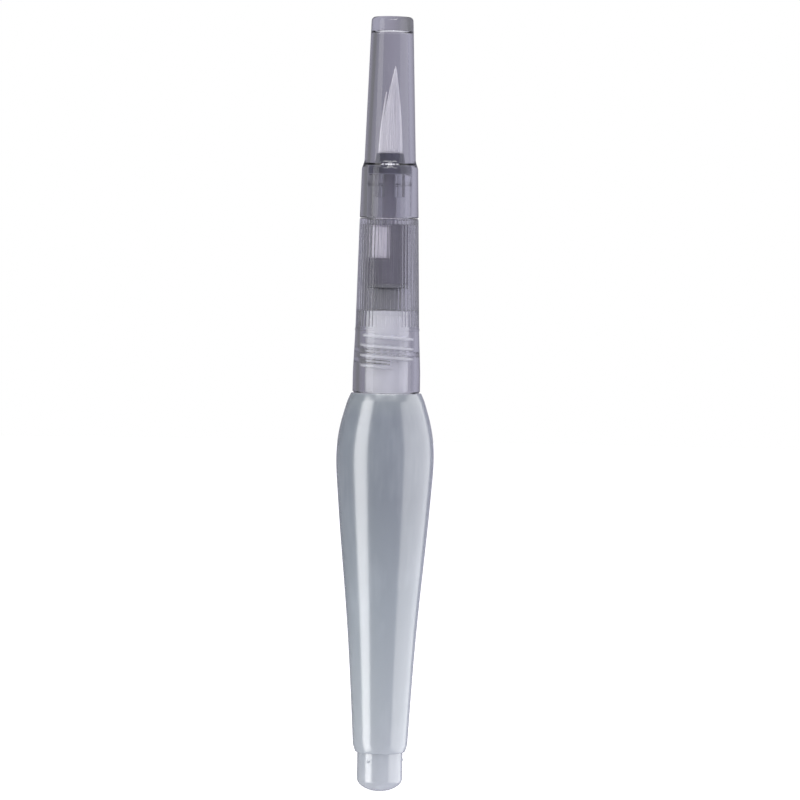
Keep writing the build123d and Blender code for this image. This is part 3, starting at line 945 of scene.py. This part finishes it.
@dataclass
class Cap:
    """The clear cap with its skirt, step and slender hollow end."""

    skirt_draft: float = 0.25
    step_height: float = 9.8
    step_across: float = 0.5
    step_rise: float = 1.5
    top_r: float = 4.16
    end: float = 2.8
    end_round: float = 0.9
    bore_r: float = 4.6
    inner_wall: float = 1.0
    bore_step: float = 10.3
    bore_step_rise: float = 0.4
    bore_chamfer: float = 0.5
    edge: float = 0.15
    mouth_lead: float = 0.2

    def outline(self) -> Outline:
        """The cap's wall, up its outside and down its bore."""
        low, top, mouth_r = span("cap")
        skirt_r = mouth_r - self.skirt_draft
        slim_r = skirt_r - self.step_across
        step = low + self.step_height
        bore_end = top - self.end
        out = Outline().to(mouth_r - self.edge, low, 0.05).to(mouth_r, low + self.edge, 0.05)
        out.to(skirt_r, step, 0.15).to(slim_r, step + self.step_rise, 0.3)
        out.to(self.top_r, top, self.end_round).to(0.0, top).to(0.0, bore_end)
        out.to(self.top_r - self.inner_wall - self.bore_chamfer, bore_end, 0.25)
        out.to(self.top_r - self.inner_wall, bore_end - self.bore_chamfer, 0.25)
        bore_step = low + self.bore_step
        out.to(slim_r - self.inner_wall, bore_step + self.bore_step_rise, 0.1).to(self.bore_r, bore_step, 0.1)
        return out.to(self.bore_r, low + self.mouth_lead, 0.05).to(self.bore_r + self.mouth_lead, low, 0.05)

    def build(self, turned: TurnedTree, plastic: Material) -> Object:
        """Makes the cap."""
        piece = turned.turn("clear_cap", self.outline(), Around(segments=240), plastic)
        return seat(piece, Body.CAP, "cap")


@dataclass
class Brush:
    """The wick and the bristles."""

    hairs: int = 900
    hair_radius: float = 0.10
    hidden_root: float = 0.6
    lean: float = 0.75
    lock_reach: float = 0.72
    lock_aside: float = -0.85
    seed: int = 11

    def build_tuft(self, nylon: Material) -> None:
        """Makes the bristles, from inside the nozzle to the point."""
        _, nozzle_top, _ = span("brush_nozzle")
        _, tip, root_r = span("bristle_tuft")
        low = nozzle_top - self.hidden_root
        source = bpy.data.meshes.new("tuft_source")
        tuft = TuftTree().run("bristles", source, nylon, {
            "hairs": self.hairs, "seed": self.seed, "root_radius": (root_r - self.hair_radius) * MM,
            "low": low * MM, "length": (tip - low - 0.05) * MM, "hair_radius": self.hair_radius * MM,
            "lean": self.lean * MM, "lock_reach": self.lock_reach, "lock_aside": self.lock_aside * MM})
        seat(tuft, Body.HEAD, "bristle_tuft")

    def build_wick(self, turned: TurnedTree, fibre: Material) -> None:
        """Makes the wick with softened edges."""
        low, top, radius = span("feed_wick")
        out = Outline().to(0.0, low).to(radius, low, 0.2).to(radius, top, 0.35, step=0.5).to(0.0, top - 0.08)
        seat(turned.turn("fibre_wick", out, Around(segments=96), fibre), Body.HEAD, "feed_wick")


def dress_node(name: str, material: Material) -> None:
    """Gives a CAD node that stays in view its finish."""
    node = frame["nodes"][name]
    for slot in node.material_slots:
        slot.material = material
    LOG.info("%s: CAD node with %s", name, material.name)


# ---- studio ----

class Lit(Enum):
    """The pieces that a softbox lights."""

    CLEAR = "clear_pieces"
    SOLID = "solid_pieces"


@dataclass(frozen=True)
class Softbox:
    """An even rectangular light that faces the pen."""

    name: str
    turn: float          # degrees round from the front, to the right
    rise: float          # degrees above level
    distance: float
    width: float
    tall: float
    strength: float
    lit: Lit
    aim: tuple[float, float, float] = (0.0, 0.0, 0.08)

    def build(self, pieces: dict[Lit, Collection]) -> None:
        """Adds the light for one kind of pieces. Clear pieces don't shade the solid ones."""
        light = bpy.data.lights.new(self.name, "AREA")
        light.shape = "RECTANGLE"
        light.size, light.size_y = self.width, self.tall
        light.energy = self.strength * math.pi * self.width * self.tall
        lamp = link_object(self.name, light)
        angle, rise = math.radians(self.turn), math.radians(self.rise)
        away = Vector((math.sin(angle) * math.cos(rise), -math.cos(angle) * math.cos(rise), math.sin(rise)))
        lamp.location = Vector(self.aim) + self.distance * away
        lamp.rotation_euler = (-away).to_track_quat("-Z", "Y").to_euler()
        lamp.visible_camera = lamp.visible_transmission = False
        lamp.light_linking.receiver_collection = pieces[self.lit]
        if self.lit is Lit.SOLID:
            lamp.light_linking.blocker_collection = pieces[Lit.SOLID]


@dataclass(frozen=True)
class Studio:
    """The floor, the lights, the surroundings and the camera."""

    floor_radius: float = 1.6
    lens: float = 179.9
    distance: float = 0.80
    above: float = 1.9
    roll: float = 1.007
    aim: tuple[float, float, float] = (0.0028, 0.0, 0.07855)
    softboxes: tuple[Softbox, ...] = (
        Softbox("left_on_solid", -60, 0, 0.80, 0.50, 1.4, 2.9, Lit.SOLID),
        Softbox("right_on_solid", 90, 0, 0.90, 1.70, 1.4, 1.3, Lit.SOLID),
        Softbox("overhead_on_solid", 0, 70, 0.95, 0.9, 0.5, 3.5, Lit.SOLID),
        Softbox("left_on_clear", -60, 0, 0.80, 0.40, 1.4, 2.0, Lit.CLEAR),
        Softbox("right_on_clear", 68, 0, 0.90, 0.80, 1.4, 1.0, Lit.CLEAR),
        Softbox("overhead_on_clear", 0, 32, 0.95, 0.9, 0.22, 6.0, Lit.CLEAR),
    )
    left: tuple = rgb(0.47, 0.47, 0.49)
    middle: tuple = rgb(0.58, 0.57, 0.63)
    right: tuple = rgb(0.66, 0.655, 0.72)
    overhead: tuple = rgb(0.88, 0.88, 0.91)
    side_blend: float = 1.6
    ceiling: tuple[float, float] = (0.45, 2.5)    # the z where it begins and how sharply

    def build(self, clear_pieces: list[Object]) -> None:
        """Adds everything but the pen.

        Args:
            clear_pieces: the pieces that don't shade what is inside them.
        """
        pieces = {kind: bpy.data.collections.new(kind.value) for kind in Lit}
        for piece in bpy.context.scene.objects:
            if piece.type == "MESH" and not piece.hide_render:
                pieces[Lit.CLEAR if piece in clear_pieces else Lit.SOLID].objects.link(piece)
        pieces[Lit.CLEAR].objects.link(self._floor())
        for softbox in self.softboxes:
            softbox.build(pieces)
        self._world()
        self._camera()
        bpy.context.scene.view_settings.view_transform = "Standard"

    def _floor(self) -> Object:
        """A round pale floor that is seen only directly."""
        mesh = bpy.data.meshes.new("floor")
        disc = bmesh.new()
        bmesh.ops.create_circle(disc, cap_ends=True, segments=128, radius=self.floor_radius)
        disc.to_mesh(mesh)
        disc.free()
        mesh.materials.append(StudioFloor("studio_floor").make())
        floor = link_object("floor", mesh)
        floor.visible_glossy = floor.visible_transmission = floor.visible_shadow = False
        return floor

    def _world(self) -> None:
        """White behind the pen and a grey room around it."""
        world = bpy.data.worlds.new("studio")
        world.use_nodes = True
        bpy.context.scene.world = world
        graph = Graph(world.node_tree)
        x, _, z = graph.split(graph.node("ShaderNodeTexCoord", output="Generated"))
        begins, blend = self.ceiling
        room = graph.mixed(((0.0 - x) * self.side_blend).clamped(), self.middle, self.left)
        room = graph.mixed((x * self.side_blend).clamped(), room, self.right)
        room = graph.mixed(((z - begins) * blend).clamped(), room, self.overhead)
        seen = graph.node("ShaderNodeLightPath", output="Is Camera Ray")
        colour = graph.mixed(seen, room, WHITE)
        shader = graph.node("ShaderNodeBackground", None, {"Color": colour, "Strength": 1.0})
        graph.node("ShaderNodeOutputWorld", None, {"Surface": shader})

    def _camera(self) -> None:
        """A long lens at the front, a little above the pen's middle."""
        data = bpy.data.cameras.new("camera")
        data.lens = self.lens
        data.clip_start, data.clip_end = 0.01, 20.0
        camera = link_object("camera", data)
        rise = math.radians(self.above)
        back = Vector((0.0, -math.cos(rise), math.sin(rise)))
        camera.location = Vector(self.aim) + self.distance * back
        facing = (-back).to_track_quat("-Z", "Y").to_matrix()
        camera.rotation_euler = (facing @ Matrix.Rotation(math.radians(self.roll), 3, "Z")).to_euler()
        bpy.context.scene.camera = camera


def main() -> None:
    """Builds the pen and its studio."""
    logging.basicConfig(level=logging.INFO, format="%(name)s %(message)s")
    turned = TurnedTree()
    clear = ClearPlastic("clear_plastic").make()
    barrel = Barrel()
    barrel.build(turned, BarrelPlastic("barrel_plastic").make())
    between_turns = barrel.thread_low() + Around().thread_pitch / 2
    clear_pieces = [Grip().build(turned, clear, between_turns), Cap().build(turned, clear)]
    brush = Brush()
    brush.build_wick(turned, WickFibre("wick_fibre").make())
    brush.build_tuft(BristleNylon("bristle_nylon").make())
    dark = MouldedPlastic("dark_plastic")
    nozzle = MouldedPlastic("nozzle_plastic", rgb(0.24, 0.24, 0.30), rgb(0.33, 0.33, 0.39),
                            foot=rgb(0.52, 0.51, 0.57), foot_top=span("grip_section")[1])
    milky = MouldedPlastic("milky_plastic", rgb(0.45, 0.45, 0.48), rgb(0.55, 0.55, 0.57), 0.3, 0.4,
                           foot=rgb(0.82, 0.82, 0.85), foot_top=span("squeeze_barrel")[1] + 0.9)
    # painted light: the seal ring is coloured a light grey, paler than its own dark rubber, so the shaded gap
    # under the wick holder reads lighter
    rubber = MouldedPlastic("seal_rubber", rgb(0.42, 0.42, 0.45), rgb(0.48, 0.48, 0.51), 0.55)
    dressed = {"wick_holder": dark, "brush_nozzle": nozzle, "flow_regulator": milky, "seal_ring": rubber}
    for name, finish in dressed.items():
        dress_node(name, finish.make())
    Studio().build(clear_pieces)


if __name__ == "__main__":
    main()
